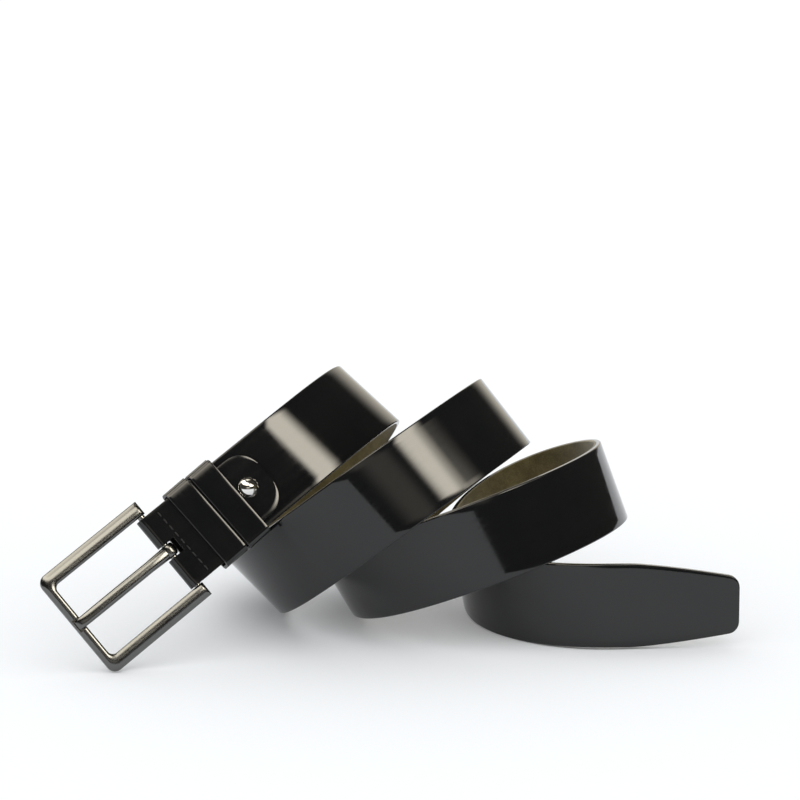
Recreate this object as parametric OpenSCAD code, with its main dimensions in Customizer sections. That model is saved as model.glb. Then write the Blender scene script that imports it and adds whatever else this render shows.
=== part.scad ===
// Leather belt with a prong buckle, rolled into three leaning turns and stood on its edge.
// The strap follows one coil. Everything at the buckle is drawn flat, in a frame of its own
// (x along the strap away from the buckle, y across it, z out of its polished face), and is
// then carried to the start of the coil.

/* [Strap] */
// Width of the strap
strap_w = 35; // [33:0.5:35]
// Thickness of the polished face leather
face_t = 2; // [1.6:0.1:2]
// Thickness of the suede lining
lining_t = 1.2; // [0.8:0.1:1.2]
// How far the lining stays inside each edge of the strap
lining_inset = 0.2; // [0.1:0.1:1]
// Half width of the tip, before its corners are rounded
tip_half_w = 11.6; // [9:0.2:14]
// Length over which the strap narrows to its tip
taper_len = 38; // [25:1:60]
// Radius of the tip's corners
tip_corner_r = 4; // [2:0.5:6]

/* [Punched holes] */
// Number of holes
hole_count = 5; // [3:1:5]
// Diameter of each hole
hole_d = 4.5; // [4:0.1:5]
// Distance between holes
hole_pitch = 25; // [20:1:25]
// Distance from the tip to the first hole
first_hole = 150; // [150:1:160]

/* [Chape] */
// Thickness of the folded leather tab
chape_t = 1.5; // [1.2:0.1:1.5]
// Distance from the heel bar to the end of the tongue
chape_len = 52; // [50:0.5:53]
// Width of the tongue
tongue_w = 29; // [26:0.5:30]
// Radius of the tongue's end corners
tongue_r = 10; // [6:0.5:12]
// Distance from the heel bar to the row of stitches
stitch_x = 6.4; // [6.2:0.1:6.8]
// Distance from the heel bar to the end of the strap between the chape's legs
strap_start = 9; // [8.5:0.5:12]

/* [Keepers] */
// Length of each keeper along the strap
keeper_len = 11.2; // [8:0.1:11.2]
// Thickness of the keeper leather
keeper_t = 1.4; // [1.2:0.1:2]
// Gap all round between a keeper and what it holds
keeper_gap = 0.3; // [0.25:0.05:0.4]
// Extra width inside a keeper, which lets it sit at a slight angle
keeper_play = 0.7; // [0.4:0.1:0.8]
// Angle at which the keepers and the stitches sit across the strap
leather_skew = 1.5; // [0:0.5:2]
// Distance from the heel bar to the first keeper
keeper_1_x = 13.6; // [13.4:0.1:13.6]
// Distance from the heel bar to the second keeper
keeper_2_x = 25.9; // [25.8:0.1:25.9]

/* [Buckle] */
// Outer width of the frame
frame_w = 49.2; // [48:0.2:50]
// Width of the opening that the strap passes through
frame_inner_w = 36.6; // [36.4:0.2:37]
// How far the buckle sits to one side along the heel bar
buckle_offset = 0.4; // [0:0.1:0.4]
// Distance from the heel bar to the far face of the end bar
frame_reach = 50.2; // [48:0.2:52]
// Width of the end bar
end_bar_w = 4; // [3.5:0.1:5]
// Thickness of the frame at its inner edge
frame_t = 3.6; // [3.2:0.1:4]
// Thickness of the frame at its outer edge
frame_edge_t = 2.4; // [2:0.1:3]
// Outer radius of the two far corners
frame_corner_r = 5; // [3:0.5:7]
// Diameter of the heel bar
heel_bar_d = 3.05; // [3.03:0.01:3.15]
// Width of the prong at its root
prong_root_w = 5.6; // [5:0.1:5.8]
// Width of the prong beyond its root
prong_w = 5; // [4:0.1:5]
// Thickness of the prong
prong_t = 2.6; // [2:0.1:2.8]

/* [Screw] */
// Distance from the heel bar to the screw
screw_x = 42.2; // [42.2:0.1:43]
// Diameter of the domed head
dome_d = 8.2; // [7:0.2:8.4]
// Height of the domed head
dome_h = 2.6; // [2:0.1:3]
// Diameter of the post through the leather
post_d = 4; // [3.6:0.1:4.4]
// Diameter of the backing screw's shank
shank_d = 2.8; // [2.4:0.1:3]

/* [Coil] */
// Number of turns
turns = 3; // [3:1:3]
// Straight length from the heel bar to the start of the coil
lead_in = 63.8; // [63.8:0.2:66]
// Straight length from the end of the coil to the tip
lead_out = 55; // [50:1:60]
// Half length of the first and of the last turn
half_len = [58, 48];
// Half depth of the first and of the last turn
half_depth = [62, 59];
// Rings for each turn
rings_per_turn = 48; // [36:6:60]

/* [Hidden] */

// The coil's driving rows, one for each half turn: the centre of the turn in x, y and z, how far its
// axis leans to the left, and how far it tips back. The values in between follow a smooth curve.
row_step = 0.5;
coil_rows = [
    [-76, 28, 62.5, 48.5, 9],
    [-66.5, 15.5, 53, 44.5, 8.5],
    [-44, 0, 47.5, 51, 4.5],
    [-4.5, -7, 60, 40, 7.5],
    [7.5, 0.5, 50.5, 36.5, 3.5],
    [22.5, -3, 36, 26.5, 4.5],
    [61.5, -8.5, 44, 15, -3],
    [88, -0.5, 13, 6.5, 4.5],
    [105.5, 19.5, -13, 5, 9.5]
];
// Where the straight part beside the buckle ends, in turns
coil_start = 0.08;
// Moves the whole belt so that its base is centred on the origin
shift = [2.5, 13.8, 0.26];
// Turn of the buckle about the heel bar, at which its lowest corner rests on the ground
buckle_tilt = 0;

strap_t = face_t + lining_t;
half_w = strap_w / 2;
bar_r = heel_bar_d / 2;
fold_r = strap_t / 2 + 0.01;
fold_outer_r = fold_r + chape_t;
edge_bevel = 0.4;
nudge = 0.01;
curve_fn = 96;

// ---------- the coil ----------

function bump(t) = let (s = abs(t)) s < 1 ? (4 - 6 * s * s + 3 * s * s * s) / 6
    : s < 2 ? pow(2 - s, 3) / 6 : 0;
function row_value(u, k) = let (last = len(coil_rows) - 1)
    [for (i = [0:last]) bump(u / row_step + 1 - i)]
    * [for (i = [0:last]) coil_rows[i][k]];
function unit(v) = v / norm(v);
function mix(range, u) = range[0] + (range[1] - range[0]) * u / turns;

// Axis of the turn at u, counted in turns from the first front pass
function turn_axis(u) = let (lean = row_value(u, 3), tip = row_value(u, 4))
    [-sin(lean) * cos(tip), sin(tip), cos(lean) * cos(tip)];
// Middle of the strap's thickness and width at u
function coil_point(u) = let (
    lean = row_value(u, 3),
    along = [cos(lean), 0, sin(lean)],
    across = cross(turn_axis(u), along),
    angle = 360 * u + 270)
    [row_value(u, 0), row_value(u, 1), row_value(u, 2)] + shift
    + mix(half_len, u) * cos(angle) * along + mix(half_depth, u) * sin(angle) * across;
// Point, direction, width direction and outward direction at u
function coil_frame(u) = let (
    step = 0.001,
    dir = unit(coil_point(u + step) - coil_point(u - step)),
    axis = turn_axis(u),
    side = unit(axis - (axis * dir) * dir))
    [coil_point(u), dir, side, cross(dir, side)];
// The same frame, moved d millimetres straight ahead
function ahead(f, d) = [f[0] + d * f[1], f[1], f[2], f[3]];

first_frame = coil_frame(coil_start);
last_frame = coil_frame(turns);
heel_frame = ahead(first_frame, -lead_in);

// ---------- the strap as a row of rings ----------

ring_total = round((turns - coil_start) * rings_per_turn);
ring_u = [for (i = [0:ring_total]) coil_start + (turns - coil_start) * i / ring_total];
tip_steps = [0, 0.4, 1.2, 2.4, tip_corner_r];
lead_in_steps = [for (i = [0:4]) strap_start - lead_in + i * (lead_in - strap_start) / 5];
lead_out_steps = [for (d = [lead_out / 6, lead_out - taper_len, lead_out - taper_len / 2]) d];

// Half width of the strap at a distance from its tip
function tip_half(d) = let (
    straight = min(half_w, tip_half_w + (half_w - tip_half_w) * d / taper_len),
    inside = max(0, tip_corner_r - d))
    straight - tip_corner_r + sqrt(tip_corner_r * tip_corner_r - inside * inside);

// Every ring: [frame, half width]
rings = concat(
    [for (d = lead_in_steps) [ahead(first_frame, d), half_w]],
    [for (u = ring_u) [coil_frame(u), half_w]],
    [for (d = lead_out_steps) [ahead(last_frame, d), tip_half(lead_out - d)]],
    [for (i = [len(tip_steps) - 1:-1:0])
        [ahead(last_frame, lead_out - tip_steps[i]), tip_half(tip_steps[i])]]);

// A closed solid through all the rings. section holds [side, trim, z] for each corner: which edge it
// is on, how far it stays inside that edge, and its height from the middle of the thickness.
module ribbon(section) {
    n = len(section);
    last = len(rings) - 1;
    points = [for (r = rings, c = section)
        r[0][0] + c[0] * (r[1] - c[1]) * r[0][2] + c[2] * r[0][3]];
    walls = [for (i = [0:last - 1], j = [0:n - 1]) let (
        a = i * n + j,
        b = i * n + (j + 1) % n)
        each section[j][0] < 0 ? [[a, b, b + n], [a, b + n, a + n]] : [[a, b, a + n], [b, b + n, a + n]]];
    caps = [[for (j = [n - 1:-1:0]) j], [for (j = [0:n - 1]) last * n + j]];
    polyhedron(points, concat(walls, caps), convexity = 12);
}

// Distance from the tip to each ring of the coil, paired with its place in turns
coil_steps = [for (i = [1:ring_total]) norm(coil_point(ring_u[i]) - coil_point(ring_u[i - 1]))];
from_tip = [for (i = ring_total, s = lead_out; i >= 0; s = s + (i > 0 ? coil_steps[i - 1] : 0),
    i = i - 1) [s, ring_u[i]]];
hole_places = [for (i = [0:hole_count - 1]) lookup(first_hole + i * hole_pitch, from_tip)];

module at_frame(f) {
    multmatrix([[f[1].x, f[2].x, f[3].x, f[0].x],
                [f[1].y, f[2].y, f[3].y, f[0].y],
                [f[1].z, f[2].z, f[3].z, f[0].z],
                [0, 0, 0, 1]]) children();
}

// Cuts the punched holes and the screw's hole out of a layer of the strap
module punched() {
    cut_len = strap_t + 1.6;
    difference() {
        children();
        for (u = hole_places)
            at_frame(coil_frame(u)) cylinder(h = cut_len, d = hole_d, center = true, $fn = 48);
        at_frame(ahead(heel_frame, screw_x))
            cylinder(h = cut_len, r = post_hole_r, center = true, $fn = 48);
    }
}

module strap() {
    top = strap_t / 2;
    bottom = top - face_t;
    color([0.05, 0.05, 0.06]) punched()
        ribbon([[-1, 0, bottom], [1, 0, bottom], [1, 0, top - edge_bevel], [1, edge_bevel, top],
                [-1, edge_bevel, top], [-1, 0, top - edge_bevel]]);
}

module lining() {
    bottom = -strap_t / 2;
    top = bottom + lining_t;
    color([0.35, 0.3, 0.16]) punched()
        ribbon([[-1, lining_inset, bottom], [1, lining_inset, bottom],
                [1, lining_inset, top], [-1, lining_inset, top]]);
}

// ---------- shared outlines ----------

post_hole_r = post_d / 2 + 0.05;
leather_top = fold_outer_r;

// A rectangle with round corners, centred
module rounded_rect(w, h, r) {
    square([w - 2 * r, h], center = true);
    square([w, h - 2 * r], center = true);
    for (sx = [-1, 1], sy = [-1, 1])
        translate([sx * (w / 2 - r), sy * (h / 2 - r)]) circle(r, $fn = 48);
}

// Everything drawn flat beside the buckle goes through here
module on_strap() {
    at_frame(heel_frame) children();
}

// ---------- chape and its thread ----------

prong_slot_w = prong_root_w + 1.6;
prong_slot_x = 4.6;
shoulder_x = 30;
shoulder_end_x = 34;
arc_steps = 12;

// Outline of the chape seen from the front: full width at the fold, then a round-ended tongue
module chape_outline() {
    reach = 2 * fold_outer_r;
    side = [tongue_w / 2 - tongue_r, -tongue_w / 2 + tongue_r];
    corners = [for (k = [0, 1], i = [0:arc_steps])
        let (a = 90 * (1 - k - i / arc_steps))
        [chape_len - tongue_r + tongue_r * cos(a), side[k] + tongue_r * sin(a)]];
    polygon(concat([[-reach, -half_w], [-reach, half_w], [shoulder_x, half_w],
                    [shoulder_end_x, tongue_w / 2]], corners,
                   [[shoulder_end_x, -tongue_w / 2], [shoulder_x, -half_w]]));
}

// Side profile of the fold: two legs joined round the heel bar
module fold_profile() {
    difference() {
        union() {
            circle(fold_outer_r, $fn = curve_fn);
            translate([0, -fold_outer_r]) square([chape_len, 2 * fold_outer_r]);
        }
        circle(fold_r, $fn = curve_fn);
        translate([0, -fold_r]) square([chape_len + 1, 2 * fold_r]);
    }
}

module chape() {
    color([0.05, 0.05, 0.055]) on_strap() difference() {
        intersection() {
            rotate([90, 0, 0])
                linear_extrude(height = strap_w, center = true) fold_profile();
            translate([0, 0, -2 * fold_outer_r])
                linear_extrude(height = 4 * fold_outer_r) chape_outline();
        }
        translate([-2 * fold_outer_r, -prong_slot_w / 2, -2 * fold_outer_r])
            cube([2 * fold_outer_r + prong_slot_x, prong_slot_w, 4 * fold_outer_r]);
        translate([screw_x, 0, 0])
            cylinder(h = 4 * fold_outer_r, r = post_hole_r, center = true, $fn = 48);
    }
}

stitch_pitch = 3.6;
stitch_len = 2.5;
stitch_pairs = 4;
thread_d = 0.7;

// One row of stitches on one side of the chape. Each is a bar on the leather with two legs that
// reach the middle, where they meet the thread of the other side.
module thread_row(side) {
    leg_y = stitch_len / 2 - thread_d / 2;
    translate([stitch_x, 0, 0]) rotate([0, 0, leather_skew])
        for (i = [-stitch_pairs:stitch_pairs]) translate([0, i * stitch_pitch, 0]) {
            translate([0, 0, side * leather_top])
                rotate([90, 0, 0]) cylinder(h = stitch_len, d = thread_d, center = true, $fn = 24);
            for (s = [-1, 1])
                translate([0, s * leg_y, side > 0 ? 0 : -leather_top])
                    cylinder(h = leather_top, d = thread_d, $fn = 24);
        }
}

module needle_thread() {
    color([0.1, 0.1, 0.11]) on_strap() thread_row(1);
}

module bobbin_thread() {
    color([0.1, 0.1, 0.11]) on_strap() thread_row(-1);
}

// ---------- keepers ----------

keeper_in_w = strap_w + 2 * (keeper_gap + keeper_play);
keeper_in_h = 2 * fold_outer_r + 2 * keeper_gap;
keeper_in_r = 1.2;
staple_w = 7;
staple_wire = 0.6;
staple_leg = 1.2;

// Places a keeper's pieces, drawn with the band's middle at the origin
module at_keeper(x) {
    on_strap() translate([x + keeper_len / 2, 0, 0]) rotate([0, 0, leather_skew]) children();
}

module keeper_band() {
    rotate([90, 0, 90]) linear_extrude(height = keeper_len, center = true) difference() {
        rounded_rect(keeper_in_w + 2 * keeper_t, keeper_in_h + 2 * keeper_t, keeper_in_r + keeper_t);
        rounded_rect(keeper_in_w, keeper_in_h, keeper_in_r);
    }
}

// A wire staple that closes the band on its hidden side
module keeper_staple() {
    leg_y = (staple_w - staple_wire) / 2;
    translate([0, 0, -(keeper_in_h / 2 + keeper_t)]) {
        translate([0, 0, -staple_wire / 2])
            cube([staple_wire, staple_w, staple_wire], center = true);
        for (s = [-1, 1])
            translate([0, s * leg_y, staple_leg / 2 - nudge])
                cube([staple_wire, staple_wire, staple_leg], center = true);
    }
}

module keeper_1() {
    color([0.06, 0.06, 0.07]) at_keeper(keeper_1_x) keeper_band();
}

module keeper_1_staple() {
    color([0.6, 0.6, 0.62]) at_keeper(keeper_1_x) keeper_staple();
}

module keeper_2() {
    color([0.06, 0.06, 0.07]) at_keeper(keeper_2_x) keeper_band();
}

module keeper_2_staple() {
    color([0.6, 0.6, 0.62]) at_keeper(keeper_2_x) keeper_staple();
}

// ---------- screw ----------

post_end_z = -leather_top + 0.2;
screw_bore_r = shank_d / 2 + 0.05;
backing_head_d = 8;
backing_head_t = 0.9;
screw_bore_depth = 4.6;

// Domed head, post and the bore that takes the backing screw
module screw_post() {
    dome_r = (dome_d * dome_d / 4 + dome_h * dome_h) / (2 * dome_h);
    color([0.75, 0.76, 0.78]) on_strap() translate([screw_x, 0, 0]) difference() {
        union() {
            translate([0, 0, leather_top]) intersection() {
                cylinder(h = dome_h, d = dome_d, $fn = 64);
                translate([0, 0, dome_h - dome_r]) sphere(dome_r, $fn = curve_fn);
            }
            translate([0, 0, post_end_z])
                cylinder(h = leather_top - post_end_z, d = post_d, $fn = 48);
        }
        translate([0, 0, post_end_z - 1])
            cylinder(h = screw_bore_depth + 1, r = screw_bore_r, $fn = 48);
    }
}

// Flat slotted screw on the lining side
module backing_screw() {
    slot_w = 0.9;
    slot_depth = 0.5;
    color([0.7, 0.71, 0.73]) on_strap() translate([screw_x, 0, -leather_top - backing_head_t])
        difference() {
            union() {
                cylinder(h = backing_head_t, d = backing_head_d, $fn = 64);
                cylinder(h = backing_head_t + screw_bore_depth - 0.4, d = shank_d, $fn = 48);
            }
            translate([-backing_head_d, -slot_w / 2, -1])
                cube([2 * backing_head_d, slot_w, 1 + slot_depth]);
        }
}

// ---------- buckle ----------

arm_end_x = 2.3;
arm_w = (frame_w - frame_inner_w) / 2;
frame_inner_r = 2.6;
frame_back_z = -frame_t / 2;
frame_front_z = frame_t / 2;
tenon_r = 1;
tenon_len = 2.4;
tenon_gap = 0.02;
notch_depth = 1.1;
notch_w = prong_w + 1;
prong_gap = 0.2;

// Everything that turns on the heel bar goes through here
module on_heel_bar() {
    on_strap() translate([0, buckle_offset, 0]) rotate([0, buckle_tilt, 0]) children();
}

// Outline of the frame from the front: two arms and an end bar, round at the two far corners
module frame_outline() {
    long = 2 * (frame_reach + arm_end_x);
    difference() {
        translate([arm_end_x, 0]) rounded_rect(long, frame_w, frame_corner_r);
        translate([arm_end_x, -frame_w]) square([long, 2 * frame_w]);
        translate([arm_end_x, 0])
            rounded_rect(long - 2 * end_bar_w, frame_inner_w, frame_inner_r);
    }
}

// Side profile of the frame: flat, with a round end at the heel bar
module frame_side() {
    round_x = arm_end_x - frame_t / 2;
    translate([round_x, 0]) circle(frame_t / 2, $fn = 64);
    translate([-frame_reach - 1, frame_back_z]) square([frame_reach + 1 + round_x, frame_t]);
}

// Takes the slope off the front face, from the inner edge down to the outer edge
module frame_slopes() {
    drop = frame_t - frame_edge_t;
    big = 2 * frame_w;
    side_tilt = atan(drop / arm_w);
    end_tilt = atan(drop / end_bar_w);
    for (s = [0, 1]) mirror([0, s, 0]) translate([-big, frame_inner_w / 2, frame_front_z])
        rotate([-side_tilt, 0, 0]) cube([2 * big, big, big]);
    translate([-frame_reach + end_bar_w, 0, frame_front_z])
        rotate([0, -end_tilt, 0]) translate([-big, -big, 0]) cube([big, 2 * big, big]);
}

module buckle_frame() {
    bore_len = frame_inner_w + 2 * tenon_len + 0.2;
    color([0.36, 0.36, 0.36]) on_heel_bar() difference() {
        intersection() {
            translate([0, 0, frame_back_z]) linear_extrude(height = frame_t) frame_outline();
            rotate([90, 0, 0]) linear_extrude(height = 2 * frame_w, center = true) frame_side();
        }
        frame_slopes();
        rotate([90, 0, 0])
            cylinder(h = bore_len, r = tenon_r + tenon_gap, center = true, $fn = 48);
        translate([-frame_reach - 1, -notch_w / 2, frame_front_z - notch_depth])
            cube([end_bar_w + 2, notch_w, 2 * notch_depth]);
    }
}

// Round bar with a thinner tenon at each end
module heel_bar() {
    bar_len = frame_inner_w - 0.2;
    color([0.4, 0.4, 0.4]) on_heel_bar() rotate([90, 0, 0]) {
        cylinder(h = bar_len, r = bar_r, center = true, $fn = 64);
        cylinder(h = frame_inner_w + 2 * tenon_len, r = tenon_r, center = true, $fn = 48);
    }
}

prong_ring_wall = 1.5;
prong_bore_r = bar_r + 0.08;
prong_ring_r = prong_bore_r + prong_ring_wall;

// Side profile of the prong: a loop round the heel bar, a low arch, and a tip bent down into the
// end bar's notch. Points run along the top and back along the underside.
module prong_profile() {
    seat_z = frame_front_z - notch_depth + prong_gap;
    tip_x = -frame_reach + 1;
    inner_x = -frame_reach + end_bar_w;
    arch_z = 1.2;
    top_z = arch_z + prong_t;
    polygon([[0, prong_ring_r], [-7, top_z - 0.5], [-14, top_z - 0.1], [-24, top_z],
             [-34, top_z - 0.1], [inner_x - 0.4, top_z - 0.6], [tip_x + 0.8, seat_z + 1.8],
             [tip_x, seat_z + 0.7], [tip_x + 0.6, seat_z], [inner_x + 0.4, seat_z],
             [-34, arch_z - 0.1], [-24, arch_z], [-10, arch_z - 0.4], [-2.4, -0.4], [0, -0.4]]);
}

// Plan of the prong: a wide root, then a slightly narrower shank
module prong_outline() {
    root_x = -4;
    neck_x = -9;
    polygon([[4, prong_root_w / 2], [root_x, prong_root_w / 2], [neck_x, prong_w / 2],
             [-frame_reach, prong_w / 2], [-frame_reach, -prong_w / 2], [neck_x, -prong_w / 2],
             [root_x, -prong_root_w / 2], [4, -prong_root_w / 2]]);
}

module prong() {
    color([0.4, 0.4, 0.4]) on_heel_bar() difference() {
        union() {
            rotate([90, 0, 0])
                cylinder(h = prong_root_w, r = prong_ring_r, center = true, $fn = 64);
            intersection() {
                rotate([90, 0, 0])
                    linear_extrude(height = prong_root_w, center = true) prong_profile();
                translate([0, 0, -frame_w / 2]) linear_extrude(height = frame_w) prong_outline();
            }
        }
        rotate([90, 0, 0])
            cylinder(h = 2 * prong_root_w, r = prong_bore_r, center = true, $fn = 64);
    }
}

strap();
lining();
chape();
needle_thread();
bobbin_thread();
keeper_1();
keeper_1_staple();
keeper_2();
keeper_2_staple();
screw_post();
backing_screw();
buckle_frame();
heel_bar();
prong();
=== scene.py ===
import math
import bpy
import bmesh
from mathutils import Vector, Matrix


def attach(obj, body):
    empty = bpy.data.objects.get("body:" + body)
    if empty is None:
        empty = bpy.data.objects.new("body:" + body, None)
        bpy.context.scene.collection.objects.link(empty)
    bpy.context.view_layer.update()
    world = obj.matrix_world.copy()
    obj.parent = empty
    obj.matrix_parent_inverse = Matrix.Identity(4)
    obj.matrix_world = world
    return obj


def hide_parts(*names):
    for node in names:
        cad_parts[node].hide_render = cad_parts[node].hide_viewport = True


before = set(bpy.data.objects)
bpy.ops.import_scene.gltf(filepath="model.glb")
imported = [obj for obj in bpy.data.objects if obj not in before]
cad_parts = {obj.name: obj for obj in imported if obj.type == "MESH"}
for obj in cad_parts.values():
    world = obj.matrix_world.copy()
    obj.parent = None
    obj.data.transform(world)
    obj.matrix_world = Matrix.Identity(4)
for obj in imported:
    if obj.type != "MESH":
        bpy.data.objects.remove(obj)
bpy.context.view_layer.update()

# Sizes are in millimetres, as in the CAD, and turn into metres when a mesh is made.
MM = 0.001
X = Vector((1, 0, 0))
Y = Vector((0, 1, 0))
Z = Vector((0, 0, 1))


# ---------------------------------------------------------------- sizes
# Coil: rows of centre x, y, z in mm, lean and tip in degrees, one every half turn
TURNS = 3
START = 0.08
LEAD_IN = 63.8
LEAD_OUT = 55
ROW_STEP = 0.5
START_ANGLE = 270
SLOPE_STEP = 0.001
HALF_LEN = (58, 48)
HALF_DEPTH = (62, 59)
SHIFT = Vector((2.5, 13.8, 0.26))
ROWS = [
    (-76, 28, 62.5, 48.5, 9),
    (-66.5, 15.5, 53, 44.5, 8.5),
    (-44, 0, 47.5, 51, 4.5),
    (-4.5, -7, 60, 40, 7.5),
    (7.5, 0.5, 50.5, 36.5, 3.5),
    (22.5, -3, 36, 26.5, 4.5),
    (61.5, -8.5, 44, 15, -3),
    (88, -0.5, 13, 6.5, 4.5),
    (105.5, 19.5, -13, 5, 9.5),
]

# Strap
STRAP_T = 3.2
FACE_T = 2.0
STRAP_TOP = STRAP_T / 2
FACE_BOTTOM = STRAP_TOP - FACE_T
HALF_W = 17.5
STRAP_START = 9
TIP_HALF = 11.6
TAPER = 45.6
TAPER_POWER = 1.35
TIP_R = 4
COIL_RINGS = 520
STRAIGHT_RINGS = 24
HOLES = 5
HOLE_R = 2.25
FIRST_HOLE = 150
HOLE_PITCH = 25
HOLE_STEPS_PER_TURN = 48
HOLE_CUT_HALF = 2.2

# Chape, and the screw through it
CHAPE_T = 1.5
CHAPE_LEN = 52
JOINT_GAP = 0.01
SHOULDER = (30, 34)
TONGUE_HALF = 14.5
TONGUE_R = 10
FOLD_MID = STRAP_TOP + JOINT_GAP + CHAPE_T / 2
LEATHER_TOP = FOLD_MID + CHAPE_T / 2
SLOT_Y = (-3.0, 3.6)
SLOT_END = 4.6
SLOT_END_BACK = 3.5
SCREW_X = 42.2
CLEAR_OF_CHAPE = 7
POST_R = 2
POST_PLAY = 0.05
POST_END = -2.9
THREAD_R = 1.45
THREAD_TOP = 1.6
DOME_R = 4.1
DOME_H = 2.6
SKEW = Matrix.Rotation(math.radians(1.5), 4, "Z")

# Stitches
STITCH_X = 6.4
STITCH_PITCH = 3.6
STITCH_LEN = 2.6
STITCH_Z = 3.3
STITCHES_A_SIDE = 4
PLY_R = 0.24
PLY_OFFSET = 0.13
STITCH_SINK = 0.32

# Keepers
KEEPER_LEN = 11.2
KEEPER_T = 1.4
KEEPER_X = (13.6, 25.9)
KEEPER_HALF_W = HALF_W + 1
KEEPER_HALF_H = 3.41
KEEPER_IN_R = 1.2
THINNED = 0.6
THINNED_FROM = 7

# Buckle frame
REACH = 50.2
ARM_END = 2.3
ARM_END_R = 1.8
FRAME_HALF = 24.6
INNER_HALF = 18.3
END_BAR = 4.0
OUTER_R = 4.0
INNER_R = 2.6
FRAME_T = 3.6
EDGE_T = 2.4
NOTCH_HALF = 3
NOTCH_DEPTH = 1.1
FRAME_OFFSET = 0.4

# Cut edges: a face's normal has less than the first along the strap's normal, and more than the
# second along the strap
NOT_LEVEL = 0.996
LENGTHWISE = 0.06

# Prong
SEAT = FRAME_T / 2 - NOTCH_DEPTH + 0.2
PRONG_END = 1 - REACH
PRONG_BASE = 0.35
RING_BORE = 1.605
RING_R = 3.1

# Camera
CAMERA_TARGET = Vector((-0.23, 0, 93.16)) + SHIFT
CAMERA_DISTANCE = 1300.4
CAMERA_PITCH = math.radians(11.75)
CAMERA_LENS = 136.7


# ---------------------------------------------------------------- the coil, as in the CAD
def bump(t):
    """A cubic B-spline's weight t rows from its centre."""
    s = abs(t)
    if s < 1:
        return (4 - 6 * s * s + 3 * s ** 3) / 6
    return (2 - s) ** 3 / 6 if s < 2 else 0


def row(u):
    """The coil's row of values at u turns."""
    weights = [bump(u / ROW_STEP + 1 - i) for i in range(len(ROWS))]
    return [sum(w * r[k] for w, r in zip(weights, ROWS)) for k in range(len(ROWS[0]))]


def turn_axis(u):
    values = row(u)
    lean = math.radians(values[3])
    tip = math.radians(values[4])
    return Vector((-math.sin(lean) * math.cos(tip), math.sin(tip), math.cos(lean) * math.cos(tip)))


def along_coil(ends, u):
    return ends[0] + (ends[1] - ends[0]) * u / TURNS


def coil_point(u):
    """A point in the middle of the strap, u turns along the coil."""
    values = row(u)
    lean = math.radians(values[3])
    along = Vector((math.cos(lean), 0, math.sin(lean)))
    across = turn_axis(u).cross(along)
    angle = math.radians(360 * u + START_ANGLE)
    length = along_coil(HALF_LEN, u) * math.cos(angle)
    depth = along_coil(HALF_DEPTH, u) * math.sin(angle)
    return Vector(values[:3]) + SHIFT + length * along + depth * across


def coil_frame(u):
    """Point, direction, width direction and outward normal of the strap at u turns."""
    ahead_of = coil_point(u + SLOPE_STEP)
    direction = (ahead_of - coil_point(u - SLOPE_STEP)).normalized()
    axis = turn_axis(u)
    width = (axis - axis.dot(direction) * direction).normalized()
    return coil_point(u), direction, width, direction.cross(width)


def ahead(place, distance):
    """The same strap frame, moved straight on."""
    point, direction, width, normal = place
    return point + distance * direction, direction, width, normal


def matrix_at(place):
    """Local x along the strap, y across it, z out of its grain side."""
    point, direction, width, normal = place
    columns = Matrix((direction, width, normal)).transposed().to_4x4()
    return Matrix.Translation(point) @ columns


FIRST = coil_frame(START)
LAST = coil_frame(TURNS)
HEEL = ahead(FIRST, -LEAD_IN)
LOCAL = matrix_at(HEEL)
BUCKLE = LOCAL @ Matrix.Translation((0, FRAME_OFFSET, 0))


# ---------------------------------------------------------------- mesh helpers
def tidy_mesh(mesh, merge=None):
    """Points the normals outwards, and joins points closer than merge."""
    bm = bmesh.new()
    bm.from_mesh(mesh)
    if merge:
        bmesh.ops.remove_doubles(bm, verts=bm.verts, dist=merge)
    bmesh.ops.recalc_face_normals(bm, faces=bm.faces)
    bm.to_mesh(mesh)
    bm.free()


def smooth(mesh):
    for face in mesh.polygons:
        face.use_smooth = True


def make(name, points, faces, matrix, uvs=None):
    """A smooth mesh object in metres from points in millimetres."""
    mesh = bpy.data.meshes.new(name)
    mesh.from_pydata([(matrix @ Vector(p)) * MM for p in points], [], faces)
    if uvs:
        layer = mesh.uv_layers.new(name="along")
        for loop in mesh.loops:
            layer.data[loop.index].uv = uvs[loop.vertex_index]
    mesh.validate()
    mesh.update()
    tidy_mesh(mesh)
    smooth(mesh)
    obj = bpy.data.objects.new(name, mesh)
    bpy.context.scene.collection.objects.link(obj)
    return obj


def sharpen(obj, degrees):
    """Keeps the edges sharper than this angle crisp."""
    bm = bmesh.new()
    bm.from_mesh(obj.data)
    for edge in bm.edges:
        sharp = len(edge.link_faces) == 2 and edge.calc_face_angle(0) > math.radians(degrees)
        edge.smooth = not sharp
    bm.to_mesh(obj.data)
    bm.free()


def skin(rows, columns, base=0, closed=False):
    """Quads between rows of points, each row a loop of so many columns."""
    faces = []
    for i in range(rows if closed else rows - 1):
        here = base + i * columns
        there = base + (i + 1) % rows * columns
        for j in range(columns):
            k = (j + 1) % columns
            faces.append((here + j, here + k, there + k, there + j))
    return faces


def caps(rows, columns, base=0):
    """The two end faces of an open skin."""
    last = base + (rows - 1) * columns
    return [tuple(range(base + columns - 1, base - 1, -1)), tuple(range(last, last + columns))]


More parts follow.
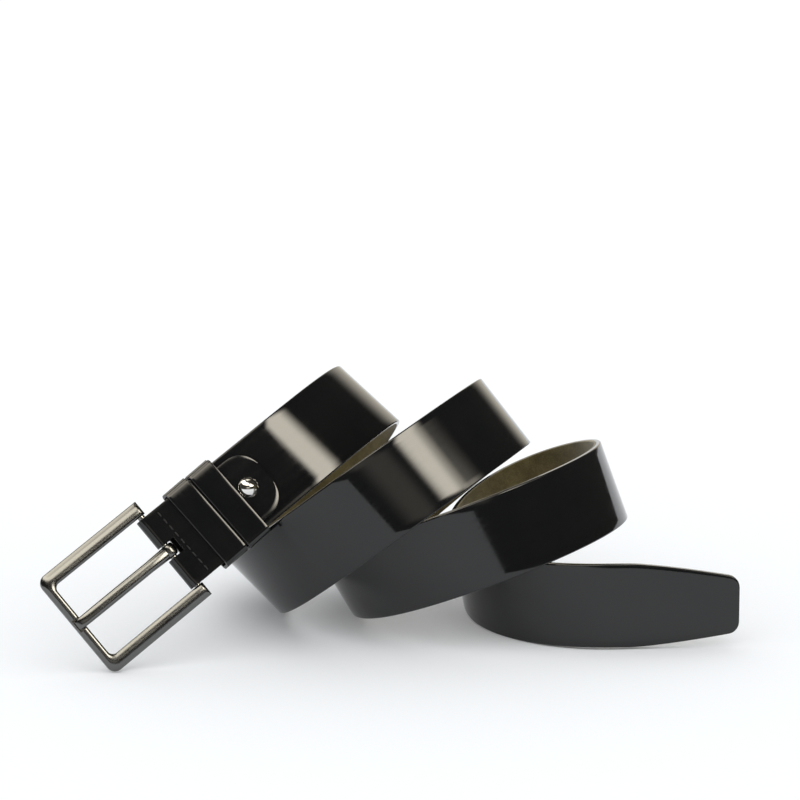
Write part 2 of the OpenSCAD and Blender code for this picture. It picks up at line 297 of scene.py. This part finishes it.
def band_section(top, bottom, r_top, r_bottom, flats, steps):
    """A flat band's section with rounded long edges, as corners of side, trim and height. Side
    goes from -1 to 1 across the band, and trim is how far a corner stays inside its edge."""
    across = [-1 + 2 * i / flats for i in range(flats + 1)]
    angles = [math.pi / 2 * i / steps for i in range(1, steps + 1)]
    right = []
    for a in angles:
        right.append((1, r_top - r_top * math.sin(a), top + r_top * math.cos(a) - r_top))
    for a in reversed(angles):
        right.append((1, r_bottom - r_bottom * math.sin(a), bottom - r_bottom * math.cos(a) + r_bottom))
    left = [(-1, trim, height) for side, trim, height in reversed(right)]
    face = [(side, r_top, top) for side in across]
    back = [(-side, r_bottom, bottom) for side in across]
    return face + right + back + left


def sweep_band(name, rings, section, closed=False, matrix=Matrix.Identity(4)):
    """Skins a band along rings of point, width direction, normal, half width and thinning, which
    lowers the upper face. Its UV is the distance along and across, in metres."""
    points, uvs = [], []
    distance = 0
    before = rings[0][0]
    for centre, width, normal, half, thinning in rings:
        distance += (centre - before).length
        before = centre
        for side, trim, height in section:
            y = side * (half - trim)
            z = height - thinning if height > 0 else height
            points.append(centre + y * width + z * normal)
            uvs.append((distance * MM, y * MM))
    faces = skin(len(rings), len(section), closed=closed)
    if not closed:
        faces += caps(len(rings), len(section))
    return make(name, points, faces, matrix, uvs)


def lathe(name, profile, matrix, steps):
    """Turns radius and height pairs about z."""
    points, faces = [], []
    count = len(profile)
    for i in range(steps):
        a = 2 * math.pi * i / steps
        points += [(r * math.cos(a), r * math.sin(a), z) for r, z in profile]
        here = i * count
        there = (i + 1) % steps * count
        for j in range(count - 1):
            faces.append((here + j, there + j, there + j + 1, here + j + 1))
    obj = make(name, points, faces, matrix)
    tidy_mesh(obj.data, merge=1e-7)
    return obj


def cut(obj, cutters):
    """Cuts other meshes out of obj, then removes them."""
    for cutter in cutters:
        modifier = obj.modifiers.new("cut", "BOOLEAN")
        modifier.operation = "DIFFERENCE"
        modifier.solver = "EXACT"
        modifier.object = cutter
    graph = bpy.context.evaluated_depsgraph_get()
    mesh = bpy.data.meshes.new_from_object(obj.evaluated_get(graph))
    obj.modifiers.clear()
    obj.data = mesh
    for cutter in cutters:
        bpy.data.objects.remove(cutter)
    smooth(mesh)


def rod(matrix, radius, half):
    """A cutter: a round bar along z."""
    return lathe("rod", [(0, -half), (radius, -half), (radius, half), (0, half)], matrix, 40)


def block(low, high, matrix):
    """A cutter: a box between two corners."""
    xs, ys, zs = zip(low, high)
    points = [(x, y, z) for x in xs for y in ys for z in zs]
    faces = [(0, 1, 3, 2), (4, 6, 7, 5), (0, 4, 5, 1), (2, 3, 7, 6), (0, 2, 6, 4), (1, 5, 7, 3)]
    return make("block", points, faces, matrix)


# ---------------------------------------------------------------- materials
class Nodes:
    """Short names for building one node tree."""

    def __init__(self, tree):
        self.tree = tree

    def add(self, kind, **values):
        node = self.tree.nodes.new(kind)
        for key, value in values.items():
            setattr(node, key, value)
        return node

    def link(self, a, b):
        self.tree.links.new(a, b)

    def math(self, operation, *values):
        node = self.add("ShaderNodeMath", operation=operation)
        for socket, value in zip(node.inputs, values):
            if isinstance(value, (int, float)):
                socket.default_value = value
            else:
                self.link(value, socket)
        return node.outputs[0]

    def ramp(self, value, low, high, start=0.0, end=1.0):
        """Goes smoothly from start to end as the value goes from low to high."""
        node = self.add("ShaderNodeMapRange", interpolation_type="SMOOTHSTEP")
        self.link(value, node.inputs["Value"])
        node.inputs["From Min"].default_value = low
        node.inputs["From Max"].default_value = high
        node.inputs["To Min"].default_value = start
        node.inputs["To Max"].default_value = end
        return node.outputs["Result"]

    def window(self, value, low, high, soft_low, soft_high):
        """1 between low and high, with soft edges."""
        rise = self.ramp(value, low - soft_low, low + soft_low)
        fall = self.ramp(value, high - soft_high, high + soft_high, 1.0, 0.0)
        return self.math("MULTIPLY", rise, fall)

    def noise(self, where, per_metre, detail, roughness):
        """Noise with so many features a metre along each axis."""
        stretch = self.add("ShaderNodeMapping")
        stretch.inputs["Scale"].default_value = per_metre
        self.link(where, stretch.inputs["Vector"])
        node = self.add("ShaderNodeTexNoise")
        node.inputs["Scale"].default_value = 1.0
        node.inputs["Detail"].default_value = detail
        node.inputs["Roughness"].default_value = roughness
        self.link(stretch.outputs["Vector"], node.inputs["Vector"])
        return node.outputs["Fac"]

    def mix(self, factor, a, b):
        node = self.add("ShaderNodeMix", data_type="RGBA")
        self.link(factor, node.inputs["Factor"])
        node.inputs["A"].default_value = (*a, 1)
        node.inputs["B"].default_value = (*b, 1)
        return node.outputs["Result"]

    def bump(self, shader, height, strength, distance):
        node = self.add("ShaderNodeBump")
        node.inputs["Strength"].default_value = strength
        node.inputs["Distance"].default_value = distance
        self.link(height, node.inputs["Height"])
        self.link(node.outputs["Normal"], shader.inputs["Normal"])


def material(name, colour, roughness, metallic=0.0, **sockets):
    """A material, its shader, its nodes and its texture coordinates."""
    mat = bpy.data.materials.new(name)
    mat.use_nodes = True
    mat.diffuse_color = (*colour, 1)
    shader = mat.node_tree.nodes["Principled BSDF"]
    shader.inputs["Base Color"].default_value = (*colour, 1)
    shader.inputs["Roughness"].default_value = roughness
    shader.inputs["Metallic"].default_value = metallic
    for key, value in sockets.items():
        shader.inputs[key.replace("_", " ")].default_value = value
    n = Nodes(mat.node_tree)
    return mat, shader, n, n.add("ShaderNodeTexCoord").outputs


def polished_leather():
    """Near black, with fine streaks along the strap and small pores."""
    mat, shader, n, where = material("leather_black", (0.006, 0.006, 0.0065), 0.2, IOR=1.5)
    streak = n.noise(where["UV"], (22, 620, 1), 3.0, 0.6)
    pores = n.noise(where["Object"], (2200, 2200, 2200), 2.0, 0.5)
    cloud = n.noise(where["Object"], (45, 45, 45), 3.0, 0.55)
    colour = n.mix(cloud, (0.004, 0.0045, 0.005), (0.009, 0.0088, 0.0086))
    n.link(colour, shader.inputs["Base Color"])
    worn = n.ramp(cloud, 0.3, 0.7, 0.0, 0.03)
    rough = n.math("ADD", n.ramp(streak, 0.35, 0.65, 0.035, 0.075), worn)
    n.link(rough, shader.inputs["Roughness"])
    height = n.math("ADD", n.math("MULTIPLY", streak, 0.35), n.math("MULTIPLY", pores, 0.5))
    n.bump(shader, height, 0.1, 0.00003)
    return mat


def painted_edge():
    """The dark paint on the cut edges of keepers and tongue."""
    mat, shader, n, where = material("edge_paint", (0.02, 0.02, 0.021), 0.42)
    fibre = n.noise(where["Object"], (700, 700, 700), 4.0, 0.6)
    n.link(n.mix(fibre, (0.012, 0.012, 0.013), (0.05, 0.05, 0.052)), shader.inputs["Base Color"])
    n.link(n.ramp(fibre, 0.3, 0.7, 0.34, 0.55), shader.inputs["Roughness"])
    n.bump(shader, fibre, 0.3, 0.0001)
    return mat


def suede():
    """Olive lining with a fine nap and paler patches."""
    mat, shader, n, where = material("suede_olive", (0.12, 0.09, 0.035), 0.9, Sheen_Weight=0.35,
                                     Sheen_Roughness=0.5, Specular_IOR_Level=0.2)
    nap = n.noise(where["Object"], (1500, 1500, 1500), 5.0, 0.7)
    patch = n.noise(where["Object"], (90, 90, 90), 4.0, 0.6)
    both = n.math("ADD", n.math("MULTIPLY", nap, 0.55), n.math("MULTIPLY", patch, 0.45))
    colour = n.mix(n.ramp(both, 0.32, 0.68), (0.075, 0.058, 0.02), (0.19, 0.15, 0.062))
    n.link(colour, shader.inputs["Base Color"])
    n.link(n.ramp(nap, 0.3, 0.7, 0.8, 1.0), shader.inputs["Roughness"])
    n.bump(shader, nap, 0.55, 0.00025)
    return mat


def metal(name, colour, smoothest, roughest):
    """Metal whose polish and tone vary a little."""
    mat, shader, n, where = material(name, colour, smoothest, 1.0)
    cloud = n.noise(where["Object"], (60, 60, 60), 2.0, 0.5)
    n.link(n.ramp(cloud, 0.3, 0.7, smoothest, roughest), shader.inputs["Roughness"])
    dim = tuple(c * 0.86 for c in colour)
    n.link(n.mix(cloud, dim, colour), shader.inputs["Base Color"])
    return mat


def thread():
    mat, shader, n, where = material("thread_black", (0.02, 0.02, 0.02), 0.6, Sheen_Weight=0.05)
    wave = n.add("ShaderNodeTexWave")
    wave.inputs["Scale"].default_value = 900
    wave.inputs["Distortion"].default_value = 1.5
    n.link(where["Object"], wave.inputs["Vector"])
    twist = wave.outputs["Fac"]
    n.link(n.mix(twist, (0.004, 0.004, 0.004), (0.02, 0.02, 0.02)), shader.inputs["Base Color"])
    n.bump(shader, twist, 0.5, 0.0001)
    return mat


LEATHER = polished_leather()
EDGE = painted_edge()
SUEDE = suede()
GUNMETAL = metal("gunmetal", (0.15, 0.15, 0.146), 0.2, 0.24)
PIN = metal("pin_metal", (0.28, 0.28, 0.27), 0.28, 0.4)
CHROME = metal("polished_metal", (0.82, 0.81, 0.79), 0.06, 0.12)
WIRE = metal("staple_wire", (0.6, 0.6, 0.6), 0.25, 0.35)
THREAD = thread()


def finish_piece(obj, mats, body, nodes, crisp=None):
    """Materials, body and the CAD nodes that this piece stands for."""
    for mat in mats:
        obj.data.materials.append(mat)
    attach(obj, body)
    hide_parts(*nodes)
    if crisp:
        sharpen(obj, crisp)


def paint_edges(obj, first_x):
    """Gives the cut edges further than first_x from the heel bar the second material."""
    for face in obj.data.polygons:
        x = (face.center / MM - HEEL[0]).dot(HEEL[1])
        not_level = abs(face.normal.dot(HEEL[3])) < NOT_LEVEL
        lengthwise = abs(face.normal.dot(HEEL[1])) > LENGTHWISE
        if x > first_x and not_level and lengthwise:
            face.material_index = 1


# ---------------------------------------------------------------- strap and lining
def tip_half(d):
    """Half the strap's width, d from its tip."""
    left = max(0.0, 1 - d / TAPER)
    straight = HALF_W - (HALF_W - TIP_HALF) * left ** TAPER_POWER
    inside = max(0.0, TIP_R - d)
    return straight - TIP_R + math.sqrt(TIP_R ** 2 - inside ** 2)


def strap_rings():
    places = []
    visible = LEAD_IN - STRAP_START
    for i in range(STRAIGHT_RINGS):
        d = visible * i / STRAIGHT_RINGS - visible
        places.append((ahead(FIRST, d), HALF_W))
    for i in range(COIL_RINGS + 1):
        u = START + (TURNS - START) * i / COIL_RINGS
        places.append((coil_frame(u), HALF_W))
    from_tip = [LEAD_OUT - LEAD_OUT * i / STRAIGHT_RINGS for i in range(1, 22)]
    from_tip += [4, 3, 2.2, 1.5, 0.9, 0.45, 0.15, 0]
    for d in sorted(from_tip, reverse=True):
        places.append((ahead(LAST, LEAD_OUT - d), tip_half(d)))
    return [(place[0], place[2], place[3], half, 0) for place, half in places]


def hole_places():
    """Walks back from the tip and stops at each hole."""
    total = round((TURNS - START) * HOLE_STEPS_PER_TURN)
    us = [START + (TURNS - START) * i / total for i in range(total + 1)]
    points = [coil_point(u) for u in us]
    places = []
    walked = LEAD_OUT
    wanted = FIRST_HOLE
    for i in range(total, 0, -1):
        step = (points[i] - points[i - 1]).length
        while walked + step >= wanted and len(places) < HOLES:
            places.append(coil_frame(us[i] + (us[i - 1] - us[i]) * (wanted - walked) / step))
            wanted += HOLE_PITCH
        walked += step
    return places


def strap_layer(name, section):
    obj = sweep_band(name, strap_rings(), section)
    cut(obj, [rod(matrix_at(place), HOLE_R, HOLE_CUT_HALF) for place in hole_places()])
    return obj


FACE_SECTION = band_section(STRAP_TOP, FACE_BOTTOM, r_top=0.55, r_bottom=0.05, flats=14, steps=5)
LINING_SECTION = band_section(FACE_BOTTOM - JOINT_GAP, -STRAP_TOP, r_top=0.03, r_bottom=0.3,
                              flats=10, steps=3)
strap = strap_layer("strap_face", FACE_SECTION)
lining = strap_layer("strap_lining", LINING_SECTION)
finish_piece(strap, [LEATHER], "belt", ["strap"], crisp=50)
finish_piece(lining, [SUEDE], "belt", ["lining"], crisp=50)


# ---------------------------------------------------------------- chape
def chape_half(x):
    """Half the chape's width, x from the heel bar."""
    if x <= SHOULDER[0]:
        return HALF_W
    if x <= SHOULDER[1]:
        t = (x - SHOULDER[0]) / (SHOULDER[1] - SHOULDER[0])
        return HALF_W - (HALF_W - TONGUE_HALF) * t * t * (3 - 2 * t)
    inside = max(0.0, x - (CHAPE_LEN - TONGUE_R))
    return TONGUE_HALF - TONGUE_R + math.sqrt(max(0.0, TONGUE_R ** 2 - inside ** 2))


def chape_rings():
    """Back leg from its tongue to the heel bar, round the bar, and out along the front leg."""
    xs = [CHAPE_LEN - TONGUE_R * (1 - math.cos(math.radians(a))) for a in range(0, 91, 6)]
    xs += [40, 38, 36, 35]
    xs += [34, 33.3, 32.6, 32, 31.4, 30.7, 30]
    xs += [27 - 3 * i for i in range(9)]
    xs += [1.5]
    rings = [(Vector((x, 0, -FOLD_MID)), Y, -Z, chape_half(x), 0) for x in xs]
    for i in range(25):
        a = math.radians(-90 - 180 * i / 24)
        normal = Vector((math.cos(a), 0, math.sin(a)))
        rings.append((FOLD_MID * normal, Y, normal, HALF_W, 0))
    rings += [(Vector((x, 0, FOLD_MID)), Y, Z, chape_half(x), 0) for x in reversed(xs)]
    return rings


CHAPE_SECTION = band_section(CHAPE_T / 2, -CHAPE_T / 2, r_top=0.15, r_bottom=0.1, flats=10, steps=4)
chape = sweep_band("chape_tab", chape_rings(), CHAPE_SECTION, matrix=LOCAL)
FAR = CLEAR_OF_CHAPE
cut(chape, [
    block((-FAR, SLOT_Y[0], 0), (SLOT_END, SLOT_Y[1], FAR), LOCAL),
    block((-FAR, SLOT_Y[0], -FAR), (SLOT_END_BACK, SLOT_Y[1], JOINT_GAP), LOCAL),
    rod(LOCAL @ Matrix.Translation((SCREW_X, 0, 0)), POST_R + POST_PLAY, FAR),
])
finish_piece(chape, [LEATHER, EDGE], "belt", ["chape"])
paint_edges(chape, SHOULDER[0])
sharpen(chape, 50)


# ---------------------------------------------------------------- stitches
def ply(centre_y, start_turn, side):
    """One of a stitch's two twisted strands: rings of points that sink at both ends."""
    along, around = 12, 10
    points = []
    for i in range(along + 1):
        t = i / along
        ends = abs(2 * t - 1)
        turn = math.pi * (3 * t + start_turn)
        x0 = STITCH_X + PLY_OFFSET * math.cos(turn)
        z0 = side * (STITCH_Z - STITCH_SINK * ends ** 3) + PLY_OFFSET * math.sin(turn)
        r = PLY_R * math.sqrt(max(0.02, 1 - ends ** 6))
        for j in range(around):
            a = 2 * math.pi * j / around
            points.append((x0 + r * math.cos(a), centre_y + (t - 0.5) * STITCH_LEN, z0 + r * math.sin(a)))
    return points, along + 1, around


def stitches(name, side, node):
    """A row of short stitches across the chape."""
    points, faces = [], []
    for k in range(-STITCHES_A_SIDE, STITCHES_A_SIDE + 1):
        for start_turn in (0, 1):
            base = len(points)
            strand, rows, columns = ply(k * STITCH_PITCH, start_turn, side)
            points += strand
            faces += skin(rows, columns, base) + caps(rows, columns, base)
    askew = Matrix.Translation((STITCH_X, 0, 0)) @ SKEW @ Matrix.Translation((-STITCH_X, 0, 0))
    obj = make(name, points, faces, LOCAL @ askew)
    finish_piece(obj, [THREAD], "belt", [node])


stitches("stitches_front", 1, "needle_thread")
stitches("stitches_back", -1, "bobbin_thread")


# ---------------------------------------------------------------- keepers
def keeper_loop():
    """Places round the keeper's middle surface, each y, z and outward normal."""
    y0 = KEEPER_HALF_W - KEEPER_IN_R
    z0 = KEEPER_HALF_H - KEEPER_IN_R
    r = KEEPER_IN_R + KEEPER_T / 2
    loop = []
    for y, z, start in ((y0, z0, 0), (-y0, z0, 90), (-y0, -z0, 180), (y0, -z0, 270)):
        for i in range(13):
            a = math.radians(start + 90 * i / 12)
            loop.append((y + r * math.cos(a), z + r * math.sin(a), math.cos(a), math.sin(a)))
    places = []
    for here, there in zip(loop, loop[1:] + loop[:1]):
        places.append(here)
        if math.hypot(there[0] - here[0], there[1] - here[1]) > 3:
            for k in range(1, 20):
                y = here[0] + (there[0] - here[0]) * k / 20
                z = here[1] + (there[1] - here[1]) * k / 20
                places.append((y, z, here[2], here[3]))
    return places


def keeper(number):
    """A closed leather band whose front thins towards its upper end."""
    rings = []
    for y, z, normal_y, normal_z in keeper_loop():
        front = z > 0 and y > 0
        share = max(0.0, (y - THINNED_FROM) / (KEEPER_HALF_W - THINNED_FROM)) ** 2 if front else 0
        centre = Vector((0, y, z))
        normal = Vector((0, normal_y, normal_z))
        rings.append((centre, X, normal, KEEPER_LEN / 2, THINNED * min(share, 1)))
    middle = KEEPER_X[number - 1] + KEEPER_LEN / 2
    section = band_section(KEEPER_T / 2, -KEEPER_T / 2, r_top=0.13, r_bottom=0.1, flats=10, steps=4)
    obj = sweep_band(f"keeper_band_{number}", rings, section, closed=True,
                     matrix=LOCAL @ Matrix.Translation((middle, 0, 0)) @ SKEW)
    finish_piece(obj, [LEATHER, EDGE], f"keeper_{number}", [f"keeper_{number}"])
    paint_edges(obj, 0)
    sharpen(obj, 50)


keeper(1)
keeper(2)


# ---------------------------------------------------------------- buckle frame
def frame_corner(side, a):
    """Outer and inner point of a rounded corner, a past the end bar."""
    c = 1 - math.cos(a)
    s = 1 - math.sin(a)
    outer = (-REACH + OUTER_R * c, side * (FRAME_HALF - OUTER_R * s))
    inner = (-REACH + END_BAR + INNER_R * c, side * (INNER_HALF - INNER_R * s))
    return outer, inner


def frame_arm(side):
    """One arm, from its rounded end to its corner."""
    middle = ARM_END - ARM_END_R
    arm = [middle + ARM_END_R * math.sin(math.radians(a)) for a in range(90, -1, -9)]
    stations = [((x, side * FRAME_HALF), (x, side * INNER_HALF)) for x in arm]
    for i in range(1, 16):
        outer_x = middle + (-REACH + OUTER_R - middle) * i / 16
        inner_x = middle + (-REACH + END_BAR + INNER_R - middle) * i / 16
        stations.append(((outer_x, side * FRAME_HALF), (inner_x, side * INNER_HALF)))
    for i in range(17):
        stations.append(frame_corner(side, math.radians(90 - 90 * i / 16)))
    return stations


def frame_profile():
    """Section of the frame: how far from the inner to the outer side, and height."""
    half = FRAME_T / 2
    edge = EDGE_T - half
    inner = [(0.0, 0.35 - half), (0.0, half - 1.0), (0.015, half - 0.7), (0.05, half - 0.42),
             (0.1, half - 0.27)]
    crown = []
    for i in range(1, 15):
        t = 0.1 + 0.64 * i / 14
        crown.append((t, half - 3.7 * (t - 0.36) ** 2))
    flank = [(0.80, half - 0.8), (0.86, half - 1.05), (0.92, edge - 0.13), (0.965, edge - 0.38),
             (0.99, edge - 0.65), (1.0, edge - 0.95)]
    back = [(1.0, 0.35 - half), (0.95, -half), (0.5, -half), (0.05, -half)]
    return inner + crown + flank + back


def buckle_frame():
    """Arm, end bar with the prong's notch, and the other arm, as one bar."""
    bar = [NOTCH_HALF + 13 * i / 8 for i in range(8, -1, -1)]
    notch = [NOTCH_HALF, NOTCH_HALF / 2, 0, -NOTCH_HALF / 2, -NOTCH_HALF]
    ys = bar + notch + [-y for y in reversed(bar)]
    upper = frame_arm(1)
    stations = upper + [((-REACH, y), (-REACH + END_BAR, y)) for y in ys] + frame_arm(-1)[::-1]
    first_low = len(upper) + len(bar)
    profile = frame_profile()
    points = []
    for i, (outer, inner) in enumerate(stations):
        low = first_low <= i < first_low + len(notch)
        roof = FRAME_T / 2 - NOTCH_DEPTH if low else FRAME_T / 2
        past = max(0.0, outer[0] - (ARM_END - ARM_END_R)) / ARM_END_R
        height = max(0.04, math.sqrt(max(0.0, 1 - min(1, past) ** 2)))
        for t, z in profile:
            x = inner[0] + (outer[0] - inner[0]) * t
            y = inner[1] + (outer[1] - inner[1]) * t
            points.append((x, y, min(z, roof) * height))
    faces = skin(len(stations), len(profile)) + caps(len(stations), len(profile))
    obj = make("frame_bar", points, faces, BUCKLE)
    finish_piece(obj, [GUNMETAL], "buckle", ["buckle_frame"], crisp=40)


buckle_frame()


# ---------------------------------------------------------------- prong
# Sections of the blade: x, underside, thickness, half width
BLADE = [
    (-1.75, -0.3, 3.25, 2.75),
    (-3, 0.0, 3.15, 2.75),
    (-5, 0.35, 3.0, 2.72),
    (-8, 0.75, 2.85, 2.6),
    (-11, 0.95, 2.75, 2.5),
    (-16, 1.1, 2.65, 2.5),
    (-22, 1.2, 2.6, 2.5),
    (-28, 1.2, 2.6, 2.5),
    (-34, 1.12, 2.55, 2.48),
    (-40, 1.0, 2.4, 2.45),
    (-44, 0.93, 2.2, 2.4),
    (-46, SEAT, 2.0, 2.35),
    (-47.4, SEAT, 1.65, 2.28),
    (-48.3, SEAT, 1.25, 2.15),
    (-48.9, SEAT, 0.8, 1.9),
    (PRONG_END, SEAT + 0.05, 0.35, 1.5),
]
# Half of the ring's section: distance from its middle, and radius
RING = [(2.8, RING_BORE), (2.8, 2.0), (2.72, 2.3), (2.5, 2.58), (2.1, 2.82), (1.5, 3.0), (0.8, 3.08)]


def blade_section(x, under, thick, half):
    """A half-round back on a flat underside."""
    points = []
    for j in range(17):
        a = math.pi * j / 16
        c = math.cos(a)
        y = half * math.copysign(abs(c) ** 0.75, c)
        z = under + PRONG_BASE + (thick - PRONG_BASE) * max(0.0, math.sin(a)) ** 0.8
        points.append((x, y, z))
    return points + [(x, y * half, under) for y in (-0.9, -0.3, 0.3)]


def prong():
    points = []
    for section in BLADE:
        points += blade_section(*section)
    columns = len(points) // len(BLADE)
    faces = skin(len(BLADE), columns) + caps(len(BLADE), columns)
    ring = [(-y, r) for y, r in RING] + [(0, RING_R)] + RING[::-1]
    base = len(points)
    steps = 48
    for i in range(steps):
        a = 2 * math.pi * i / steps
        points += [(r * math.cos(a), y, r * math.sin(a)) for y, r in ring]
    faces += skin(steps, len(ring), base, closed=True)
    obj = make("prong_blade", points, faces, BUCKLE)
    finish_piece(obj, [GUNMETAL], "prong", ["prong"], crisp=45)


prong()


# ---------------------------------------------------------------- screw
def dome_screw():
    """A domed head on a hollow post, open at its lower end."""
    radius = (DOME_R ** 2 + DOME_H ** 2) / (2 * DOME_H)
    crest = LEATHER_TOP + DOME_H
    profile = [(0, crest)]
    for i in range(1, 17):
        a = math.asin(DOME_R / radius) * i / 16
        profile.append((radius * math.sin(a), crest - radius * (1 - math.cos(a))))
    profile += [(DOME_R, LEATHER_TOP + 0.02), (DOME_R - 0.15, LEATHER_TOP), (POST_R, LEATHER_TOP)]
    profile += [(POST_R, POST_END), (THREAD_R, POST_END), (THREAD_R, THREAD_TOP), (0, THREAD_TOP)]
    obj = lathe("dome_screw", profile, LOCAL @ Matrix.Translation((SCREW_X, 0, 0)), 72)
    finish_piece(obj, [CHROME], "belt", ["screw_post"], crisp=40)


dome_screw()


# ---------------------------------------------------------------- CAD parts that stay as they are
def dress(node, mat):
    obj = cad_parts[node]
    if not obj.data.materials:
        obj.data.materials.append(mat)
    for slot in obj.material_slots:
        slot.material = mat


dress("keeper_1_staple", WIRE)
dress("keeper_2_staple", WIRE)
dress("backing_screw", CHROME)
dress("heel_bar", PIN)


# ---------------------------------------------------------------- floor, light and camera
def ground():
    """A matt white sheet, 12 m each way."""
    mesh = bpy.data.meshes.new("ground")
    mesh.from_pydata([(-6, -6, 0), (6, -6, 0), (6, 6, 0), (-6, 6, 0)], [], [(0, 1, 2, 3)])
    obj = bpy.data.objects.new("ground", mesh)
    bpy.context.scene.collection.objects.link(obj)
    mat, shader, n, where = material("white_paper", (0.93, 0.935, 0.94), 0.9, Specular_IOR_Level=0.0)
    fibre = n.noise(where["Object"], (400, 400, 400), 2.0, 0.5)
    n.link(n.mix(fibre, (0.925, 0.93, 0.935), (0.94, 0.945, 0.95)), shader.inputs["Base Color"])
    mesh.materials.append(mat)


def studio():
    """White all round, which lights the scene softly. Gloss reflects a dark studio instead, with
    soft panels and a bright wall behind. Each panel has its azimuth from -Y towards +X, its
    elevation, both as low, high and the softness of each edge in degrees, and its strength."""
    panels = [
        ((33.5, 58, 4, 9), (27, 50, 3, 4), 12.0),
        ((60, 78, 4, 9), (24, 34, 3, 4), 4.0),
        ((-125, 24, 12, 5), (44, 70, 3.5, 5), 5.0),
        ((-8, 28, 8, 6), (9, 23, 5, 5), 0.6),
    ]
    glow = 0.04
    world = bpy.data.worlds.new("studio")
    bpy.context.scene.world = world
    world.use_nodes = True
    world.node_tree.nodes.clear()
    n = Nodes(world.node_tree)
    split = n.add("ShaderNodeSeparateXYZ")
    n.link(n.add("ShaderNodeTexCoord").outputs["Generated"], split.inputs[0])
    x, y, z = split.outputs
    azimuth = n.math("DEGREES", n.math("ARCTAN2", x, n.math("MULTIPLY", y, -1)))
    elevation = n.math("DEGREES", n.math("ARCSINE", z))
    total = n.math("ADD", n.ramp(n.math("ABSOLUTE", azimuth), 142, 160), glow)
    for sideways, upwards, strength in panels:
        shape = n.math("MULTIPLY", n.window(azimuth, *sideways), n.window(elevation, *upwards))
        total = n.math("ADD", total, n.math("MULTIPLY", shape, strength))
    dark = n.add("ShaderNodeBackground")
    dark.inputs["Color"].default_value = (1.0, 0.93, 0.79, 1)
    n.link(total, dark.inputs["Strength"])
    white = n.add("ShaderNodeBackground")
    white.inputs["Color"].default_value = (0.97, 0.985, 1.0, 1)
    white.inputs["Strength"].default_value = 1.12
    mix = n.add("ShaderNodeMixShader")
    n.link(n.add("ShaderNodeLightPath").outputs["Is Glossy Ray"], mix.inputs[0])
    n.link(white.outputs[0], mix.inputs[1])
    n.link(dark.outputs[0], mix.inputs[2])
    n.link(mix.outputs[0], n.add("ShaderNodeOutputWorld").inputs["Surface"])


def place_camera():
    """A long lens from the front, looking down a little."""
    data = bpy.data.cameras.new("camera")
    data.sensor_width = 36
    data.lens = CAMERA_LENS
    data.clip_start = 0.01
    camera = bpy.data.objects.new("camera", data)
    bpy.context.scene.collection.objects.link(camera)
    look = Vector((0, math.cos(CAMERA_PITCH), -math.sin(CAMERA_PITCH)))
    camera.location = (CAMERA_TARGET - CAMERA_DISTANCE * look) * MM
    camera.rotation_euler = (math.radians(90) - CAMERA_PITCH, 0, 0)
    bpy.context.scene.camera = camera


ground()
studio()
place_camera()
bpy.context.scene.view_settings.view_transform = "Standard"
